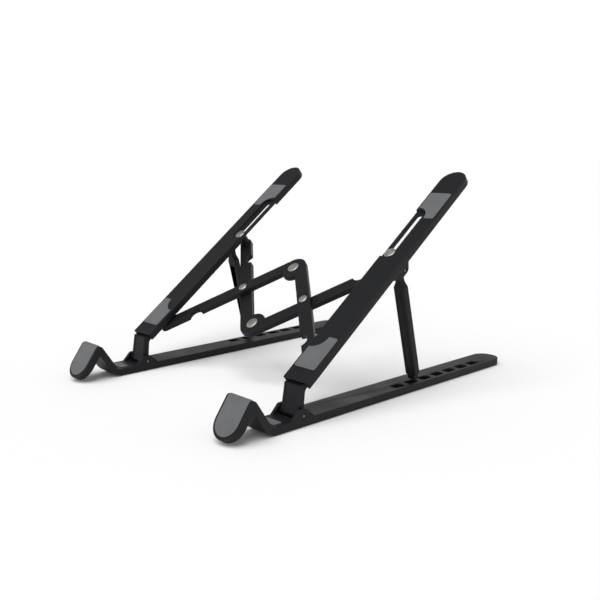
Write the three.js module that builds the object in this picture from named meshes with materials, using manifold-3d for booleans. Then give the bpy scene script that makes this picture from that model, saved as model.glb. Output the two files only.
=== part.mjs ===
// Folding laptop stand: two mirrored sides joined by a scissor linkage of four flat bars.
// Each side has a base arm with a hooked front, a front post, a tilted top arm and a rear strut.
// Millimetres. X runs across the stand, Y to the rear, Z up. Right is +X.
import * as THREE from 'three';
import { mergeVertices } from 'three/addons/utils/BufferGeometryUtils.js';
import Module from 'manifold-3d';

const wasm = await Module();
wasm.setup();

// ---------------------------------------------------------------- driving dimensions
const ARM_WIDTH = 24;
const TOP_WIDTH = 24.5;
const SIDE_X = 100;              // centre plane of each side, unfolded
const TILT = 37.4 * Math.PI / 180;
const GAP = 0.3;                 // running clearance between neighbouring pieces
const PIN_R = 1.05;
const HOLE_R = 1.4;
const FOOT_DROP = 0.35;          // how far the rubber feet stand below the base arm

// Places on one side, in (y, z) with the base hinge at y = 0
const BASE_HINGE = [0, 7.7];
const ARM_FRONT = [1.3, 31.5];   // front edge of the top arm's upper face
const ARM_LENGTH = 237;
const ARM_DEPTH = 6.3;
const WEB = 2.3;
const POST_PIVOT = [4.2, -4.7];  // (v, n): along the arm, and up from its upper face
const STRUT_PIVOT = [126.8, -9.4];
const STRUT_X = 5;               // the strut stands this far outboard of the arm's centre
const STRUT_FOOT = [130.8, 10.2];  // centre of the strut's round foot, (y, z)
const FOOT_R = 2.8;

// Base arm
const BASE_REAR = 254;
const BASE_THICK = 6;
const SLOT_COUNT = 7;
const SLOT_PITCH = 17.3;
const SLOT_FIRST = 110.8;
const SLOT_LENGTH = 11.5;
const SLOT_WIDTH = 7.6;

// Linkage, in the plane of the top arms: x across, v along the arm
const LINK_X = 6.3;              // pivots stand this far inboard of the arm's centre
const FIXED_V = 21;
const LONG_HALF = 79.8;          // end pivot to the crossing rivet
const SHORT_HALF = 49.4;         // crossing rivet to the centre eye, along the bar
const EYE_OFFSET = 5.9;          // sideways, so that folded bars lie side by side
const BAR_WIDTH = 11.4;
const BAR_THICK = 5;
const EYE_R = EYE_OFFSET + BAR_WIDTH / 2;
const LAYER_1 = -7.6;            // upper face of the fixed bars
const LAYER_2 = -12.85;          // upper face of the sliding bars
const REACH = Math.hypot(LONG_HALF + SHORT_HALF, EYE_OFFSET);
const LEAN = Math.asin((SIDE_X - LINK_X) / REACH) - Math.atan2(EYE_OFFSET, LONG_HALF + SHORT_HALF);
const SLIDE_V = FIXED_V + 2 * LONG_HALF * Math.cos(LEAN);
const SLIDE_V_FOLDED = FIXED_V + 2 * LONG_HALF;
const CROSS_X = SIDE_X - LINK_X - LONG_HALF * Math.sin(LEAN);
const CROSS_V = FIXED_V + LONG_HALF * Math.cos(LEAN);
const EYE_V = (LONG_HALF + SHORT_HALF) * Math.cos(LEAN) - EYE_OFFSET * Math.sin(LEAN);

// Slot and recess for the sliding rivet
const SLOT_R = 2.45;
const RECESS = 1.9;
const RAIL_UNDER = -4.3;
const RECESS_R = 5.6;

const stand = new THREE.Group();
const tilted = new THREE.Group();
tilted.rotation.x = TILT;
tilted.position.set(0, ARM_FRONT[0], ARM_FRONT[1]);
stand.add(tilted);

// ---------------------------------------------------------------- materials
const black = { color: 0x26272a, roughness: 0.62, metalness: 0 };
const silicone = { color: 0x6d7074, roughness: 0.85, metalness: 0 };
const steel = { color: 0xb9b6ac, roughness: 0.35, metalness: 1 };

// ---------------------------------------------------------------- solids
function solid(geometry) {
  const bare = geometry.index ? geometry.clone() : geometry;
  bare.deleteAttribute('normal');
  bare.deleteAttribute('uv');
  const merged = mergeVertices(bare, 1e-4);
  const vertProperties = new Float32Array(merged.attributes.position.array);
  const triVerts = new Uint32Array(merged.index.array);
  return new wasm.Manifold(new wasm.Mesh({ numProp: 3, vertProperties, triVerts }));
}

function addPiece(name, shape, look, parent = stand) {
  const mesh = shape.getMesh();
  const geometry = new THREE.BufferGeometry();
  geometry.setAttribute('position', new THREE.BufferAttribute(new Float32Array(mesh.vertProperties), 3));
  geometry.setIndex(new THREE.BufferAttribute(new Uint32Array(mesh.triVerts), 1));
  const piece = new THREE.Mesh(geometry, new THREE.MeshStandardMaterial(look));
  piece.name = name;
  parent.add(piece);
  return piece;
}

// A closed outline whose corners [x, y, radius] are rounded by short arcs
function outline(corners, steps = 5) {
  const points = [];
  corners.forEach(([x, y, radius = 0], i) => {
    const corner = new THREE.Vector2(x, y);
    if (radius === 0) {
      points.push(corner);
      return;
    }
    const [px, py] = corners[(i + corners.length - 1) % corners.length];
    const [nx, ny] = corners[(i + 1) % corners.length];
    const before = new THREE.Vector2(px, py).sub(corner).normalize();
    const after = new THREE.Vector2(nx, ny).sub(corner).normalize();
    const half = before.angleTo(after) / 2;
    const centre = before.clone().add(after).normalize().multiplyScalar(radius / Math.sin(half)).add(corner);
    const start = before.multiplyScalar(radius / Math.tan(half)).add(corner);
    const turn = before.clone().sub(corner).cross(after) > 0 ? -1 : 1;
    const from = Math.atan2(start.y - centre.y, start.x - centre.x);
    const sweep = Math.PI - 2 * half;
    for (let k = 0; k <= steps; k += 1) {
      const angle = from + turn * sweep * k / steps;
      points.push(new THREE.Vector2(centre.x + radius * Math.cos(angle), centre.y + radius * Math.sin(angle)));
    }
  });
  return new THREE.Shape(points);
}

function extrude(shape, depth, curveSegments = 12) {
  return new THREE.ExtrudeGeometry(shape, { depth, bevelEnabled: false, curveSegments });
}

// A plan outline in (x, y) made solid from z = low to z = high
function plate(shape, low, high, curveSegments) {
  return solid(extrude(shape, high - low, curveSegments).translate(0, 0, low));
}

// A side profile in (y, z) made solid from x = left to x = right
function slab(shape, left, right) {
  const turn = new THREE.Matrix4().makeBasis(
    new THREE.Vector3(0, 1, 0),
    new THREE.Vector3(0, 0, 1),
    new THREE.Vector3(1, 0, 0),
  );
  return solid(extrude(shape, right - left).applyMatrix4(turn).translate(left, 0, 0));
}

function box(x0, x1, y0, y1, z0, z1) {
  const geometry = new THREE.BoxGeometry(x1 - x0, y1 - y0, z1 - z0);
  return solid(geometry.translate((x0 + x1) / 2, (y0 + y1) / 2, (z0 + z1) / 2));
}

// A round bar along X through (y, z)
function crossRod(radius, left, right, y, z, sides = 24) {
  const geometry = new THREE.CylinderGeometry(radius, radius, right - left, sides);
  return solid(geometry.rotateZ(Math.PI / 2).translate((left + right) / 2, y, z));
}

// A round bar along Z through (x, y)
function upright(radius, low, high, x, y, sides = 24) {
  const geometry = new THREE.CylinderGeometry(radius, radius, high - low, sides);
  return solid(geometry.rotateX(Math.PI / 2).translate(x, y, (low + high) / 2));
}

// A long hole or a bar with round ends, from (x, y0) to (x, y1)
function stadium(radius, x, y0, y1) {
  const shape = new THREE.Shape();
  shape.absarc(x, y1, radius, 0, Math.PI, false);
  shape.absarc(x, y0, radius, Math.PI, 2 * Math.PI, false);
  return shape;
}

function mirror(shape) {
  return shape.mirror([1, 0, 0]);
}

// Both sides of the stand hold the same pieces, mirrored
function addPair(name, shape, look, parent) {
  const right = shape.translate([SIDE_X, 0, 0]);
  addPiece(`right_${name}`, right, look, parent);
  addPiece(`left_${name}`, mirror(right), look, parent);
}

// ---------------------------------------------------------------- base arm
// A flat bar that bends up into a lip and, past a rounded crest, down into a rounded tongue
const HALF = ARM_WIDTH / 2;
const HOOK_SLOPE = 55 * Math.PI / 180;
const CREST = [-47.5, 26.2];
const CREST_R = 3.1;
const APEX = CREST[1] + CREST_R / Math.cos(HOOK_SLOPE);
const VALLEY = CREST[0] + (APEX - BASE_THICK) / Math.tan(HOOK_SLOPE);
const TONGUE_LENGTH = 29.4;
const TONGUE_HALF = 13.4;        // the hook is wider than the arm
const PAD_RECESS = 0.6;
const PAD_PROUD = 0.5;
const TONGUE_PAD_HALF = 11.1;
const TONGUE_BORDER = TONGUE_HALF - TONGUE_PAD_HALF;
const CHEEK_X = 9.3;
const BARREL_R = 4.6;
const BARREL_HALF = 9;
const FLARE_R = 12;              // where the arm's width grows into the hook's
const SLOT_ROUND = 1;
const FEET = [[-12, 16], [218, 246]];  // front and rear ends of the rubber feet
const FOOT_HALF = 7.5;
const CREST_END = 80 * Math.PI / 180;  // where the tongue pad ends on the crest

// Frame of the tongue: y runs up its front face, which ends at the crest's rounding
const tongueTop = [CREST[0] - CREST_R * Math.sin(HOOK_SLOPE), CREST[1] + CREST_R * Math.cos(HOOK_SLOPE)];
const tongueFrame = new THREE.Matrix4().makeBasis(
  new THREE.Vector3(1, 0, 0),
  new THREE.Vector3(0, Math.cos(HOOK_SLOPE), Math.sin(HOOK_SLOPE)),
  new THREE.Vector3(0, -Math.sin(HOOK_SLOPE), Math.cos(HOOK_SLOPE)),
).setPosition(0, tongueTop[0], tongueTop[1]);

function tonguePoint(along, out) {
  const point = new THREE.Vector3(0, along, out).applyMatrix4(tongueFrame);
  return [point.y, point.z];
}

function tonguePlate(halfWidth, tip, top, low, high) {
  const round = halfWidth - 0.05;
  const shape = outline([
    [-halfWidth, top, 0],
    [-halfWidth, tip, round],
    [halfWidth, tip, round],
    [halfWidth, top, 0],
  ], 8);
  return solid(extrude(shape, high - low).translate(0, 0, low).applyMatrix4(tongueFrame));
}

// A band bent round the crest, from the tongue's face to the top of the lip
function crestBand(inner, outer, halfWidth, end) {
  const start = Math.PI / 2 + HOOK_SLOPE + 0.02;
  const shape = new THREE.Shape();
  shape.absarc(CREST[0], CREST[1], outer, end, start, false);
  shape.absarc(CREST[0], CREST[1], inner, start, end, true);
  return slab(shape, -halfWidth, halfWidth);
}

function valleyOutline(grow) {
  return outline([
    [-7.6 - grow, -25.5 - grow, 1],
    [7.6 + grow, -25.5 - grow, 1],
    [7.6 + grow, -17.6 + grow, 1],
    [-7.6 - grow, -17.6 + grow, 1],
  ], 3);
}

function footOutline([y0, y1], grow) {
  return stadium(FOOT_HALF + grow, 0, y0 + FOOT_HALF, y1 - FOOT_HALF);
}

function baseArm() {
  const underApex = APEX - BASE_THICK / Math.cos(HOOK_SLOPE);
  const profile = outline([
    [BASE_REAR, 0, 1],
    [BASE_REAR, BASE_THICK, 1.2],
    [VALLEY, BASE_THICK, 4],
    [CREST[0], APEX, CREST_R],
    [...tonguePoint(-8, 0), 0],
    [...tonguePoint(-8, -BASE_THICK), 0],
    [CREST[0], underApex, 0.8],
    [CREST[0] + underApex / Math.tan(HOOK_SLOPE), 0, 13],
  ]);
  let arm = slab(profile, -TONGUE_HALF, TONGUE_HALF);
  arm = arm.add(tonguePlate(TONGUE_HALF, -TONGUE_LENGTH, -7.5, -BASE_THICK, 0));
  // plan shape: the lip flares to the hook's width, and the rear end is round
  const plan = outline([
    [-TONGUE_HALF, -120, 0],
    [TONGUE_HALF, -120, 0],
    [TONGUE_HALF, CREST[0] + 3, FLARE_R],
    [HALF, VALLEY - 1, FLARE_R],
    [HALF, BASE_REAR, HALF - 0.05],
    [-HALF, BASE_REAR, HALF - 0.05],
    [-HALF, VALLEY - 1, FLARE_R],
    [-TONGUE_HALF, CREST[0] + 3, FLARE_R],
  ], 12);
  arm = arm.intersect(plate(plan, -5, 60));
  // cheeks that hold the hinge pin, with sloping fronts
  const cheek = outline([
    [-13, 5, 0],
    [12, 5, 0],
    [10.5, BASE_THICK, 4],
    [2.2, 13.2, 3],
    [-4.4, 13.2, 2],
    [-11.4, BASE_THICK, 0],
  ]);
  arm = arm.add(slab(cheek, -HALF, -CHEEK_X));
  arm = arm.add(slab(cheek, CHEEK_X, HALF));
  arm = arm.subtract(box(-CHEEK_X, CHEEK_X, -BARREL_R - 0.7, BARREL_R + 0.7, 2.5, 30));
  arm = arm.subtract(crossRod(HOLE_R, -HALF - 1, HALF + 1, ...BASE_HINGE));
  // the row of slots for the strut's foot
  for (let i = 0; i < SLOT_COUNT; i += 1) {
    const y = SLOT_FIRST + i * SLOT_PITCH;
    const slot = outline([
      [STRUT_X - SLOT_WIDTH / 2, y - SLOT_LENGTH / 2, SLOT_ROUND],
      [STRUT_X + SLOT_WIDTH / 2, y - SLOT_LENGTH / 2, SLOT_ROUND],
      [STRUT_X + SLOT_WIDTH / 2, y + SLOT_LENGTH / 2, SLOT_ROUND],
      [STRUT_X - SLOT_WIDTH / 2, y + SLOT_LENGTH / 2, SLOT_ROUND],
    ], 1);
    arm = arm.subtract(plate(slot, -1, 20));
  }
  // shallow seats for the pads
  const seatHalf = TONGUE_PAD_HALF + GAP;
  arm = arm.subtract(tonguePlate(seatHalf, -TONGUE_LENGTH + TONGUE_BORDER - GAP, 0.1, -PAD_RECESS, 5));
  arm = arm.subtract(crestBand(CREST_R - PAD_RECESS, CREST_R + 3, seatHalf, CREST_END - 0.1));
  arm = arm.subtract(plate(valleyOutline(GAP), BASE_THICK - PAD_RECESS, BASE_THICK + 3));
  for (const foot of FEET) {
    arm = arm.subtract(plate(footOutline(foot, GAP), -1, PAD_RECESS + GAP));
  }
  return arm;
}

addPair('base_arm', baseArm(), black);

// Soft pads: over the tongue and its crest, in the valley, and under the base arm
function tonguePad() {
  const face = tonguePlate(TONGUE_PAD_HALF, -TONGUE_LENGTH + TONGUE_BORDER, 0.02, -PAD_RECESS + GAP, PAD_PROUD);
  const inner = CREST_R - PAD_RECESS + GAP;
  return face.add(crestBand(inner, CREST_R + PAD_PROUD, TONGUE_PAD_HALF, CREST_END));
}

addPair('tongue_pad', tonguePad(), silicone);
addPair('valley_pad', plate(valleyOutline(0), BASE_THICK - PAD_RECESS + GAP, BASE_THICK + 0.4), silicone);
addPair('front_foot', plate(footOutline(FEET[0], 0), -FOOT_DROP, PAD_RECESS), silicone);
addPair('rear_foot', plate(footOutline(FEET[1], 0), -FOOT_DROP, PAD_RECESS), silicone);
addPair('base_hinge_pin', crossRod(PIN_R, -11.7, 11.7, ...BASE_HINGE), steel);

// ---------------------------------------------------------------- front post
// Upright link with a barrel at each end; its head leans back into the top arm
function armPoint(v, n) {
  const y = ARM_FRONT[0] + v * Math.cos(TILT) - n * Math.sin(TILT);
  const z = ARM_FRONT[1] + v * Math.sin(TILT) + n * Math.cos(TILT);
  return [y, z];
}

const POST_HEAD = armPoint(...POST_PIVOT);
const POST_HALF = 8.3;
const POST_HEAD_R = 2.4;
const POST_RIB = 1.7;            // width of the ribs beside its hollowed front

function frontPost() {
  const body = outline([
    [-3.9, 7, 0],
    [2.8, 7, 0],
    [4.2, 25.2, 5],
    [POST_HEAD[0] + 1.2, POST_HEAD[1] - 2.1, 0],
    [POST_HEAD[0] - 1.2, POST_HEAD[1] + 2.05, 0],
    [...armPoint(0.2, -2.4), 0],
    [-0.9, 29.2, 0.8],
  ]);
  let post = slab(body, -POST_HALF, POST_HALF);
  // the front is hollowed a little between two side ribs
  const hollow = outline([
    [-8, 13.2, 0],
    [-2.5, 13.2, 0.4],
    [-0.2, 30.4, 0],
    [-8, 30.4, 0],
  ]);
  post = post.subtract(slab(hollow, -POST_HALF + POST_RIB, POST_HALF - POST_RIB));
  post = post.add(crossRod(BARREL_R, -BARREL_HALF, BARREL_HALF, ...BASE_HINGE, 32));
  post = post.add(crossRod(POST_HEAD_R, -POST_HALF, POST_HALF, ...POST_HEAD));
  post = post.subtract(crossRod(HOLE_R, -20, 20, ...BASE_HINGE));
  return post.subtract(crossRod(HOLE_R, -20, 20, ...POST_HEAD));
}

addPair('front_post', frontPost(), black);

// ---------------------------------------------------------------- top arm, in its own plane
// A channel open below. Here y runs along the arm and z is up from its upper face.
const ARM_WALL = 1.7;
const TIP_WALL = 2;
const FRONT_WEB = 1.2;           // thinner where the post's head swings
const FRONT_POCKET = 14;
const LOWER_PAD = [11.8, 42.9];  // from and to, along the arm
const UPPER_PAD = [177.3, 208.4];
const PAD_HALF = 10.5;
const PAD_ROUND = 1.8;
const SCOOP_R = 11.8;
const SEAT_DEPTH = 0.8;
const PAD_RISE = 0.4;
const BOSS_R = 4.6;
const COUNTERBORE_R = 4.1;
const COUNTERBORE_DEPTH = 2.3;
const NECK_HALF = 2.5;           // half the width of the strut's neck, between the two lugs
const INNER_LUG = 1.8;
const TOP_PIN_HALF = 11.2;       // the pin stops short of the arm's outer faces

function topArm() {
  const half = TOP_WIDTH / 2;
  const body = outline([
    [-half, 0, 0.8],
    [half, 0, 0.8],
    [half, ARM_LENGTH, half - 0.05],
    [-half, ARM_LENGTH, half - 0.05],
  ], 12);
  const inside = half - ARM_WALL;
  const cavity = outline([
    [-inside, -5, 0],
    [inside, -5, 0],
    [inside, ARM_LENGTH - TIP_WALL, inside - 0.05],
    [-inside, ARM_LENGTH - TIP_WALL, inside - 0.05],
  ], 10);
  let arm = plate(body, -ARM_DEPTH, 0);
  arm = arm.subtract(plate(cavity, -20, -WEB));
  arm = arm.subtract(box(-inside, inside, -5, FRONT_POCKET, -20, -FRONT_WEB));
  // the rail: a thicker floor under a recess that is open at the inner edge
  arm = arm.add(box(-half, -0.4, SLIDE_V - 9, SLIDE_V_FOLDED + 9, RAIL_UNDER, -0.5));
  const open = box(-half - 1, -LINK_X, SLIDE_V - RECESS_R, SLIDE_V_FOLDED + RECESS_R, -RECESS, 5);
  const round = plate(stadium(RECESS_R, -LINK_X, SLIDE_V, SLIDE_V_FOLDED), -RECESS, 5);
  arm = arm.subtract(open).subtract(round);
  arm = arm.subtract(plate(stadium(SLOT_R, -LINK_X, SLIDE_V, SLIDE_V_FOLDED), -20, 5));
  arm = arm.subtract(box(-half - 1, -half + 3, SLIDE_V - RECESS_R, SLIDE_V_FOLDED + RECESS_R, -20, RAIL_UNDER));
  // boss of the fixed pivot, with a counterbore for the rivet's head
  arm = arm.add(upright(BOSS_R, LAYER_1 + GAP, -1.5, -LINK_X, FIXED_V));
  // lugs for the strut's pin
  const lug = outline([
    [108, -1.5, 0],
    [111.5, -ARM_DEPTH, 3],
    [119.5, -12.4, 4],
    [129.8, -12.4, 4.2],
    [134, -ARM_DEPTH, 3],
    [137.5, -1.5, 0],
  ]);
  arm = arm.add(slab(lug, STRUT_X + NECK_HALF + GAP, half));
  arm = arm.add(slab(lug, STRUT_X - NECK_HALF - GAP - INNER_LUG, STRUT_X - NECK_HALF - GAP));
  arm = arm.subtract(crossRod(HOLE_R, -1, half + 1, ...STRUT_PIVOT));
  arm = arm.subtract(crossRod(HOLE_R, -TOP_PIN_HALF - GAP, TOP_PIN_HALF + GAP, ...POST_PIVOT));
  // seats for the two pads, then the counterbore below the lower one
  arm = arm.subtract(plate(padOutline(LOWER_PAD, 1, GAP), -SEAT_DEPTH, 5));
  arm = arm.subtract(plate(padOutline(UPPER_PAD, -1, GAP), -SEAT_DEPTH, 5));
  arm = arm.subtract(upright(COUNTERBORE_R, -COUNTERBORE_DEPTH, 5, -LINK_X, FIXED_V));
  return arm.subtract(upright(HOLE_R + 0.2, -20, 5, -LINK_X, FIXED_V));
}

// A pad outline with one inner corner scooped out by a quarter circle. facing = 1 scoops the
// upper corner of the lower pad, -1 the lower corner of the upper pad.
function padOutline([v0, v1], facing, grow) {
  const scooped = facing > 0 ? v1 : v0;
  const plain = (facing > 0 ? v0 : v1) - facing * grow;
  const half = PAD_HALF + grow;
  const radius = SCOOP_R - grow;
  const corners = [
    [-half, plain, PAD_ROUND],
    [half, plain, PAD_ROUND],
    [half, scooped + facing * grow, PAD_ROUND],
    [radius - PAD_HALF, scooped + facing * grow, 0],
  ];
  for (let k = 1; k < 10; k += 1) {
    const angle = (Math.PI / 2) * k / 10;
    corners.push([radius * Math.cos(angle) - PAD_HALF, scooped - facing * radius * Math.sin(angle), 0]);
  }
  corners.push([-half, scooped - facing * radius, 0]);
  return outline(corners, 4);
}

addPair('top_arm', topArm(), black, tilted);
addPair('lower_pad', plate(padOutline(LOWER_PAD, 1, 0), GAP - SEAT_DEPTH, PAD_RISE), silicone, tilted);
addPair('upper_pad', plate(padOutline(UPPER_PAD, -1, 0), GAP - SEAT_DEPTH, PAD_RISE), silicone, tilted);
addPair('top_hinge_pin', crossRod(PIN_R, -TOP_PIN_HALF, TOP_PIN_HALF, ...POST_PIVOT), steel, tilted);
addPair('strut_pin', crossRod(PIN_R, 0.6, 11.9, ...STRUT_PIVOT), steel, tilted);

// ---------------------------------------------------------------- strut
// A ribbed bar: narrow neck on the pin, square shoulders, and a narrow round-ended foot
const STRUT_HALF = 5.2;
const STRUT_TOE = 3.4;
const GROOVE_X = 2.6;
const GROOVE_DEEP = 0.4;

function strut() {
  const pivot = armPoint(...STRUT_PIVOT);
  const length = Math.hypot(STRUT_FOOT[0] - pivot[0], pivot[1] - STRUT_FOOT[1]);
  const half = STRUT_HALF;
  const front = outline([
    [-NECK_HALF, 4, 0],
    [-NECK_HALF, -10, 0],
    [-half, -14.5, 0.8],
    [-half, 3 - length, 0.8],
    [-STRUT_TOE, 1.6 - length, 0],
    [-STRUT_TOE, -length - 5, 0],
    [STRUT_TOE, -length - 5, 0],
    [STRUT_TOE, 1.6 - length, 0],
    [half, 3 - length, 0.8],
    [half, -14.5, 0.8],
    [NECK_HALF, -10, 0],
    [NECK_HALF, 4, 0],
  ]);
  const side = outline([
    [-FOOT_R, -length - FOOT_R, FOOT_R - 0.05],
    [FOOT_R, -length - FOOT_R, FOOT_R - 0.05],
    [FOOT_R, FOOT_R + 0.2, FOOT_R - 0.05],
    [-FOOT_R, FOOT_R + 0.2, FOOT_R - 0.05],
  ], 8);
  const turn = new THREE.Matrix4().makeRotationX(Math.PI / 2).setPosition(0, 10, 0);
  let bar = solid(extrude(front, 20).applyMatrix4(turn));
  bar = bar.intersect(slab(side, -20, 20));
  for (const face of [-1, 1]) {
    for (const x of [-GROOVE_X, GROOVE_X]) {
      const skin = face * FOOT_R;
      bar = bar.subtract(box(x - 1, x + 1, skin - GROOVE_DEEP, skin + GROOVE_DEEP, 13 - length, -19));
    }
  }
  bar = bar.subtract(crossRod(HOLE_R, -20, 20, 0, 0));
  const swing = Math.atan2(STRUT_FOOT[0] - pivot[0], pivot[1] - STRUT_FOOT[1]) * 180 / Math.PI;
  return bar.rotate([swing, 0, 0]).translate([STRUT_X, ...pivot]);
}

addPair('strut', strut(), black);

// ---------------------------------------------------------------- scissor bars
const RIVET_HOLE = 1.8;
const NOTCH_R = 6.1;             // makes room for the eye rivets when the bars fold together
const SLIDER_BOSS_R = 4.4;
const THROAT = 24;               // where the bar begins to widen into its eye

// Drawn for the left fixed bar: end pivot at the origin, running along +y, eye offset to +x.
// upperEye: the eye keeps the upper half of the bar's thickness.
function linkBar(top, upperEye, boss) {
  const half = BAR_WIDTH / 2;
  const end = LONG_HALF + SHORT_HALF;
  const low = top - BAR_THICK;
  const middle = (top + low) / 2;
  let bar = plate(stadium(half, 0, 0, end), low, top, 16);
  const throat = outline([
    [-half, end - THROAT],
    [half, end - THROAT],
    [half, end],
    [-half, end],
  ]);
  bar = bar.add(plate(throat, low, top));
  bar = bar.subtract(upright(EYE_R + GAP, low - 1, top + 1, EYE_OFFSET, end, 40));
  const eyeLow = upperEye ? middle + 0.13 : low;
  const eyeTop = upperEye ? top : middle - 0.13;
  // a tongue of half thickness carries the eye past the round step
  bar = bar.add(upright(EYE_R, eyeLow, eyeTop, EYE_OFFSET, end, 40));
  bar = bar.add(plate(throat, eyeLow, eyeTop));
  bar = bar.subtract(upright(NOTCH_R, low - 1, top + 1, EYE_OFFSET, 2 * LONG_HALF - end, 32));
  if (boss) {
    bar = bar.add(upright(SLIDER_BOSS_R, top - 0.5, RAIL_UNDER - GAP, 0, 0));
    bar = bar.add(upright(SLOT_R - GAP, RAIL_UNDER - 1, -RECESS, 0, 0));
  }
  for (const [x, y] of [[0, 0], [0, LONG_HALF], [EYE_OFFSET, end]]) {
    bar = bar.subtract(upright(RIVET_HOLE, -30, 0, x, y, 20));
  }
  return bar;
}

const DEGREES = 180 / Math.PI;

// Turns a left-hand bar to its place. flip lays it from the slot down instead of up.
function placeBar(bar, flip) {
  const v = flip ? SLIDE_V : FIXED_V;
  const turned = flip ? bar.mirror([0, 1, 0]).rotate([0, 0, LEAN * DEGREES]) : bar.rotate([0, 0, -LEAN * DEGREES]);
  return turned.translate([-SIDE_X + LINK_X, v, 0]);
}

const lowerEyeFixed = placeBar(linkBar(LAYER_1, false, false), false);
const upperEyeFixed = placeBar(linkBar(LAYER_1, true, false), false);
const upperEyeSliding = placeBar(linkBar(LAYER_2, true, true), true);
const lowerEyeSliding = placeBar(linkBar(LAYER_2, false, true), true);
addPiece('left_fixed_bar', lowerEyeFixed, black, tilted);
addPiece('right_fixed_bar', mirror(upperEyeFixed), black, tilted);
addPiece('left_sliding_bar', upperEyeSliding, black, tilted);
addPiece('right_sliding_bar', mirror(lowerEyeSliding), black, tilted);

// ---------------------------------------------------------------- rivets
// A shallow domed head, a plain shank and a flat set tail, turned about z
function rivet(headR, headLow, tailTop, tailR, x, v) {
  const thick = 0.75;
  const profile = [
    [0, tailTop - thick],
    [tailR, tailTop - thick],
    [tailR, tailTop],
    [1.5, tailTop],
    [1.5, headLow],
    [headR, headLow],
    [headR, headLow + 0.35],
    [headR * 0.8, headLow + thick],
    [0, headLow + thick + 0.1],
  ].map(([r, z]) => new THREE.Vector2(r, z));
  const geometry = new THREE.LatheGeometry(profile, 20).rotateX(Math.PI / 2);
  return solid(geometry).translate([x, v, 0]);
}

const under1 = LAYER_1 - BAR_THICK - GAP;
const under2 = LAYER_2 - BAR_THICK - GAP;
const frontEyeV = SLIDE_V - EYE_V;
const rearEyeV = FIXED_V + EYE_V;
const crossing = rivet(3.9, LAYER_1 + 0.2, under2, 3.2, -CROSS_X, CROSS_V);
const fixedPivot = rivet(3.8, -2, under1, 3, -SIDE_X + LINK_X, FIXED_V);
const slider = rivet(5, -RECESS + GAP, under2, 3.2, -SIDE_X + LINK_X, SLIDE_V);
for (const [name, shape] of [['crossing', crossing], ['fixed_pivot', fixedPivot], ['slider', slider]]) {
  addPiece(`left_${name}_rivet`, shape, steel, tilted);
  addPiece(`right_${name}_rivet`, mirror(shape), steel, tilted);
}
addPiece('rear_eye_rivet', rivet(5.2, LAYER_1 + GAP, under1, 3.4, 0, rearEyeV), steel, tilted);
addPiece('front_eye_rivet', rivet(5.2, LAYER_2 + GAP, under2, 3.4, 0, frontEyeV), steel, tilted);

// ---------------------------------------------------------------- stand it on its feet
// The origin is the middle of the bounding box, at floor level
stand.updateMatrixWorld(true);
const bounds = new THREE.Box3().setFromObject(stand, true);
const centre = bounds.getCenter(new THREE.Vector3());
stand.position.set(0, -centre.y, FOOT_DROP);

export default stand;
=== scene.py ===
import math
import bpy
from mathutils import Matrix, Vector


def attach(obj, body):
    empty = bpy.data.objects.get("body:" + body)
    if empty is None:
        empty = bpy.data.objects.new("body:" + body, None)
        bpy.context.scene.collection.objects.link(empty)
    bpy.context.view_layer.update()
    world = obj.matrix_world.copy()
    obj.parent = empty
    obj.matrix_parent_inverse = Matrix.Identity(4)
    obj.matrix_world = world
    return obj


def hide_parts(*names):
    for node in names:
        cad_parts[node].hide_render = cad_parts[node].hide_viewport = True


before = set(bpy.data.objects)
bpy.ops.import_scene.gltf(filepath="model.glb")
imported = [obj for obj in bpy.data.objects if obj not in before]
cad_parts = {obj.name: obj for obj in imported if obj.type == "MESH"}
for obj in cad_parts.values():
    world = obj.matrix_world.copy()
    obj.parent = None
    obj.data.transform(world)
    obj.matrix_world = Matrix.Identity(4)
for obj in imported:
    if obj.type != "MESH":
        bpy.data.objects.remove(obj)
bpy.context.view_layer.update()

# ------------------------------------------------------------------ studio
# A plain white table, a large soft light overhead and a white surround that darkens upwards.
# The stand is seen from its right front corner, a little above table height.
SENSOR_MM = 36
LENS_MM = 47.52
CAMERA_PLACE = (0.49703, -0.46468, 0.19286)
CAMERA_TURN = 46.44
CAMERA_DOWN = 10.71
CAMERA_ROLL = 0.33
TABLE_SIZE = 160
TABLE_DROP = 0.0002
SUN_FROM = Vector((0.12, -0.55, 1.2))

scene = bpy.context.scene
scene.view_settings.view_transform = "Standard"

camera_data = bpy.data.cameras.new("camera")
camera_data.sensor_width = SENSOR_MM
camera_data.lens = LENS_MM
camera = bpy.data.objects.new("camera", camera_data)
scene.collection.objects.link(camera)
camera.matrix_world = (
    Matrix.Translation(CAMERA_PLACE)
    @ Matrix.Rotation(math.radians(CAMERA_TURN), 4, "Z")
    @ Matrix.Rotation(math.radians(90 - CAMERA_DOWN), 4, "X")
    @ Matrix.Rotation(math.radians(CAMERA_ROLL), 4, "Z")
)
scene.camera = camera

bpy.ops.object.select_all(action="DESELECT")
bpy.ops.mesh.primitive_plane_add(size=TABLE_SIZE, location=(0, 0, -TABLE_DROP))
floor = bpy.context.object
floor.name = "table"
white_table = bpy.data.materials.new("white_table")
white_table.use_nodes = True
table_shader = white_table.node_tree.nodes["Principled BSDF"]
table_shader.inputs["Base Color"].default_value = (0.93, 0.93, 0.93, 1)
table_shader.inputs["Roughness"].default_value = 0.9
table_shader.inputs["Specular IOR Level"].default_value = 0.1
floor.data.materials.append(white_table)

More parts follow.
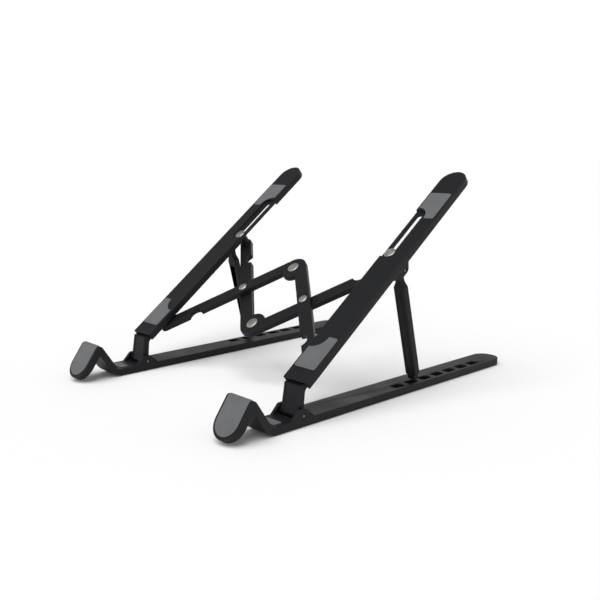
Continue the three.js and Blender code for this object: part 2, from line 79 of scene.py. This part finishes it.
sky = bpy.data.worlds.new("white_sky")
sky.use_nodes = True
tree = sky.node_tree
direction = tree.nodes.new("ShaderNodeTexCoord")
upward = tree.nodes.new("ShaderNodeSeparateXYZ")
tree.links.new(direction.outputs["Generated"], upward.inputs["Vector"])
fade = tree.nodes.new("ShaderNodeValToRGB")
fade.color_ramp.elements[0].position = 0.12
fade.color_ramp.elements[0].color = (1, 1, 1, 1)
fade.color_ramp.elements[1].position = 0.6
fade.color_ramp.elements[1].color = (0.26, 0.26, 0.26, 1)
tree.links.new(upward.outputs["Z"], fade.inputs["Fac"])
tree.links.new(fade.outputs["Color"], tree.nodes["Background"].inputs["Color"])
tree.nodes["Background"].inputs["Strength"].default_value = 1.15
scene.world = sky

sun_data = bpy.data.lights.new("overhead_diffuser", "SUN")
sun_data.energy = 2.3
sun_data.angle = math.radians(60)
sun = bpy.data.objects.new("overhead_diffuser", sun_data)
sun.rotation_euler = (-SUN_FROM).to_track_quat("-Z", "Y").to_euler()
scene.collection.objects.link(sun)

# ------------------------------------------------------------------ base arms
# The two flat arms that lie on the table, each bent up at the front into a lip and a hooked tongue.
# Injection moulded in dark charcoal plastic with a fine spark-eroded grain and softened edges.
MOULDED_EDGE = 0.0005
EDGE_STEPS = 2


def start_material(name):
    """An empty material, with the object's own coordinates at hand for its textures."""
    material = bpy.data.materials.new(name)
    material.use_nodes = True
    nodes = material.node_tree.nodes
    return material, material.node_tree, nodes["Principled BSDF"], nodes.new("ShaderNodeTexCoord")


def noise(tree, where, scale, detail=2.0, roughness=0.5):
    texture = tree.nodes.new("ShaderNodeTexNoise")
    texture.inputs["Scale"].default_value = scale
    texture.inputs["Detail"].default_value = detail
    texture.inputs["Roughness"].default_value = roughness
    tree.links.new(where.outputs["Object"], texture.inputs["Vector"])
    return texture.outputs["Fac"]


def two_tones(tree, pattern, start, start_color, end, end_color):
    ramp = tree.nodes.new("ShaderNodeValToRGB")
    for stop, position, color in zip(ramp.color_ramp.elements, (start, end), (start_color, end_color)):
        stop.position = position
        stop.color = (*color, 1)
    tree.links.new(pattern, ramp.inputs["Fac"])
    return ramp.outputs["Color"]


def vary_roughness(tree, shader, pattern, low, high, start=0.0, end=1.0):
    span = tree.nodes.new("ShaderNodeMapRange")
    span.inputs["From Min"].default_value = start
    span.inputs["From Max"].default_value = end
    span.inputs["To Min"].default_value = low
    span.inputs["To Max"].default_value = high
    tree.links.new(pattern, span.inputs["Value"])
    tree.links.new(span.outputs["Result"], shader.inputs["Roughness"])


def raise_grain(tree, shader, height, strength, depth):
    bump = tree.nodes.new("ShaderNodeBump")
    bump.inputs["Strength"].default_value = strength
    bump.inputs["Distance"].default_value = depth
    tree.links.new(height, bump.inputs["Height"])
    tree.links.new(bump.outputs["Normal"], shader.inputs["Normal"])


moulded_plastic, tree, shader, where = start_material("moulded_charcoal_plastic")
grain = noise(tree, where, 2600, 3, 0.6)
handling = noise(tree, where, 32, 6)
flow = noise(tree, where, 9, 3)
pits = tree.nodes.new("ShaderNodeTexVoronoi")
pits.inputs["Scale"].default_value = 1500
tree.links.new(where.outputs["Object"], pits.inputs["Vector"])
tone = two_tones(tree, flow, 0.3, (0.0064, 0.0068, 0.0079), 0.72, (0.0090, 0.0095, 0.0109))

# edges are found where a rounded normal leaves the true one, and rub paler in patches
rounded = tree.nodes.new("ShaderNodeBevel")
rounded.samples = 4
rounded.inputs["Radius"].default_value = 0.0007
flat = tree.nodes.new("ShaderNodeNewGeometry")
compare = tree.nodes.new("ShaderNodeVectorMath")
compare.operation = "DOT_PRODUCT"
tree.links.new(rounded.outputs["Normal"], compare.inputs[0])
tree.links.new(flat.outputs["Normal"], compare.inputs[1])
edge = tree.nodes.new("ShaderNodeMapRange")
edge.inputs["From Min"].default_value = 0.995
edge.inputs["From Max"].default_value = 0.90
tree.links.new(compare.outputs["Value"], edge.inputs["Value"])
patchy = tree.nodes.new("ShaderNodeMath")
patchy.operation = "MULTIPLY"
tree.links.new(edge.outputs["Result"], patchy.inputs[0])
tree.links.new(handling, patchy.inputs[1])
worn = tree.nodes.new("ShaderNodeMix")
worn.data_type = "RGBA"
worn.inputs["B"].default_value = (0.026, 0.027, 0.029, 1)
tree.links.new(patchy.outputs["Value"], worn.inputs["Factor"])
tree.links.new(tone, worn.inputs["A"])
tree.links.new(worn.outputs["Result"], shader.inputs["Base Color"])
vary_roughness(tree, shader, handling, 0.42, 0.54, 0.3, 0.7)
shader.inputs["Specular IOR Level"].default_value = 0.16

texture_height = tree.nodes.new("ShaderNodeMix")
texture_height.inputs["Factor"].default_value = 0.4
tree.links.new(grain, texture_height.inputs["A"])
tree.links.new(pits.outputs["Distance"], texture_height.inputs["B"])
raise_grain(tree, shader, texture_height.outputs["Result"], 0.28, 0.00006)


def soften(node, name, body, material, radius):
    """A copy of a CAD piece with its sharp edges rounded as a mould leaves them."""
    bpy.ops.object.select_all(action="DESELECT")
    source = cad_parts[node]
    piece = bpy.data.objects.new(name, source.data.copy())
    scene.collection.objects.link(piece)
    bpy.context.view_layer.objects.active = piece
    piece.select_set(True)
    bpy.ops.object.mode_set(mode="EDIT")
    bpy.ops.mesh.select_all(action="SELECT")
    bpy.ops.mesh.remove_doubles(threshold=0.00001)
    bpy.ops.mesh.dissolve_limited(angle_limit=math.radians(1.5))
    bpy.ops.object.mode_set(mode="OBJECT")
    rounding = piece.modifiers.new("rounding", "BEVEL")
    rounding.width = radius
    rounding.segments = EDGE_STEPS
    rounding.limit_method = "ANGLE"
    rounding.angle_limit = math.radians(32)
    rounding.use_clamp_overlap = False
    rounding.miter_outer = "MITER_ARC"
    rounding.harden_normals = True
    bpy.ops.object.shade_smooth_by_angle(angle=math.radians(28))
    bpy.ops.object.modifier_apply(modifier="rounding")
    piece.data.materials.clear()
    piece.data.materials.append(material)
    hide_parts(node)
    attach(piece, body)
    return piece


for side in ("right", "left"):
    arm = f"{side}_base_arm"
    soften(arm, f"{arm}_moulding", f"{side}_base", moulded_plastic, MOULDED_EDGE)

# ------------------------------------------------------------------ grey pads
# Grip pads of grey silicone: over the tongue, behind the lip, on the arms and under the base.
# They are die-cut, sit in shallow seats and have a dull, slightly dusty skin.
PAD_EDGE = 0.00022

grey_silicone, tree, shader, where = start_material("grey_silicone")
skin = noise(tree, where, 1900, 4)
dust = noise(tree, where, 60, 8, 0.7)
shade = two_tones(tree, dust, 0.35, (0.098, 0.101, 0.107), 0.75, (0.124, 0.127, 0.133))
tree.links.new(shade, shader.inputs["Base Color"])
vary_roughness(tree, shader, dust, 0.66, 0.84)
shader.inputs["Specular IOR Level"].default_value = 0.35
shader.inputs["Sheen Weight"].default_value = 0.08
shader.inputs["Sheen Roughness"].default_value = 0.5
raise_grain(tree, shader, skin, 0.3, 0.00005)

for side in ("right", "left"):
    for pad, body in (
        ("tongue_pad", "base"),
        ("valley_pad", "base"),
        ("front_foot", "base"),
        ("rear_foot", "base"),
        ("lower_pad", "arm"),
        ("upper_pad", "arm"),
    ):
        soften(f"{side}_{pad}", f"{side}_{pad}_skin", f"{side}_{body}", grey_silicone, PAD_EDGE)

# ------------------------------------------------------------------ posts, top arms and struts
# The short posts stand on the base arms and carry the channel-shaped top arms. Grooved struts prop them.
# All are mouldings of the same charcoal plastic as the base, held by steel pins.
SLIM_EDGE = 0.00035

for side in ("right", "left"):
    for node, body, radius in (
        ("front_post", "post", SLIM_EDGE),
        ("top_arm", "arm", MOULDED_EDGE),
        ("strut", "strut", SLIM_EDGE),
    ):
        soften(f"{side}_{node}", f"{side}_{node}_moulding", f"{side}_{body}", moulded_plastic, radius)

# ------------------------------------------------------------------ scissor bars
# Four flat bars cross between the arms and end in round half-lapped eyes at the middle.
# They are the same moulded plastic, with a small radius all round, and turn on the rivets.
BAR_EDGE = 0.0004

for bar in ("left_fixed_bar", "right_fixed_bar", "left_sliding_bar", "right_sliding_bar"):
    soften(bar, f"{bar}_moulding", bar, moulded_plastic, BAR_EDGE)

# ------------------------------------------------------------------ hinge pins
# Plain steel pins with ground ends carry the posts, the top arms and the struts.
# The ends of the base and strut pins show, just below the faces round them. The top pins are hidden.
PIN_EDGE = 0.0002

ground_steel, tree, shader, where = start_material("ground_steel")
grinding = noise(tree, where, 4200)
shader.inputs["Base Color"].default_value = (0.16, 0.157, 0.15, 1)
shader.inputs["Metallic"].default_value = 1
vary_roughness(tree, shader, grinding, 0.25, 0.42)
raise_grain(tree, shader, grinding, 0.15, 0.00002)

for side in ("right", "left"):
    for node, body in (("base_hinge_pin", "base"), ("top_hinge_pin", "post"), ("strut_pin", "arm")):
        soften(f"{side}_{node}", f"{side}_{node}_turned", f"{side}_{body}", ground_steel, PIN_EDGE)

# ------------------------------------------------------------------ rivets
# Nickel-plated rivets join the bars and slide in the arms' slots.
# Each is turned with a shallow domed head, a thin ring round it and a flattened tail.
nickel_plate, tree, shader, where = start_material("nickel_plate")
plating = noise(tree, where, 900, 5)
tarnish = noise(tree, where, 160, 4)
warm = two_tones(tree, tarnish, 0.35, (0.31, 0.305, 0.282), 0.65, (0.46, 0.45, 0.42))
tree.links.new(warm, shader.inputs["Base Color"])
shader.inputs["Metallic"].default_value = 1
vary_roughness(tree, shader, plating, 0.30, 0.52)
raise_grain(tree, shader, plating, 0.3, 0.00004)

ARM_TILT = math.radians(37.4)
arm_normal = Vector((0, -math.sin(ARM_TILT), math.cos(ARM_TILT)))
SHANK_R = 0.0015
TAIL_THICK = 0.0009
HEAD_THICK = 0.001
RIVET_SIDES = 56


def turned_rivet(node, body):
    points = [v.co.copy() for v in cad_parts[node].data.vertices]
    middle = sum(points, Vector()) / len(points)
    heights = [(p - middle).dot(arm_normal) for p in points]
    radii = [((p - middle) - arm_normal * (p - middle).dot(arm_normal)).length for p in points]
    top = max(heights)
    bottom = min(heights)
    head = max(radii)
    tail = max(r for r, h in zip(radii, heights) if h < bottom + 0.0005)
    profile = [
        (tail * 0.86, bottom),
        (tail, bottom + 0.00022),
        (tail, bottom + TAIL_THICK),
        (SHANK_R, bottom + TAIL_THICK),
        (SHANK_R, top - HEAD_THICK),
        (head * 0.985, top - HEAD_THICK),
        (head, top - 0.00085),
        (head, top - 0.00065),
        (head * 0.965, top - 0.00048),
        (head * 0.90, top - 0.00043),
        (head * 0.865, top - 0.00047),
        (head * 0.83, top - 0.00036),
        (head * 0.66, top - 0.00020),
        (head * 0.44, top - 0.00008),
        (head * 0.20, top - 0.00001),
    ]
    bpy.ops.object.select_all(action="DESELECT")
    bpy.ops.mesh.primitive_circle_add(vertices=RIVET_SIDES, radius=profile[0][0], fill_type="NGON")
    rivet = bpy.context.object
    rivet.name = f"{node}_turned"
    bpy.ops.object.mode_set(mode="EDIT")
    bpy.ops.mesh.select_all(action="SELECT")
    bpy.ops.transform.translate(value=(0, 0, profile[0][1]))
    for (r0, z0), (r1, z1) in zip(profile, profile[1:]):
        bpy.ops.mesh.extrude_region_move(TRANSFORM_OT_translate={"value": (0, 0, z1 - z0)})
        bpy.ops.transform.resize(value=(r1 / r0, r1 / r0, 1), center_override=(0, 0, z1))
    bpy.ops.mesh.select_all(action="SELECT")
    bpy.ops.mesh.normals_make_consistent(inside=False)
    bpy.ops.object.mode_set(mode="OBJECT")
    rivet.matrix_world = Matrix.Translation(middle) @ Matrix.Rotation(ARM_TILT, 4, "X")
    bpy.ops.object.transform_apply(location=True, rotation=True, scale=True)
    bpy.ops.object.shade_smooth_by_angle(angle=math.radians(30))
    rivet.data.materials.append(nickel_plate)
    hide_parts(node)
    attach(rivet, body)


for side in ("right", "left"):
    turned_rivet(f"{side}_crossing_rivet", f"{side}_fixed_bar")
    turned_rivet(f"{side}_fixed_pivot_rivet", f"{side}_arm")
    turned_rivet(f"{side}_slider_rivet", f"{side}_sliding_bar")
turned_rivet("rear_eye_rivet", "right_fixed_bar")
turned_rivet("front_eye_rivet", "right_sliding_bar")
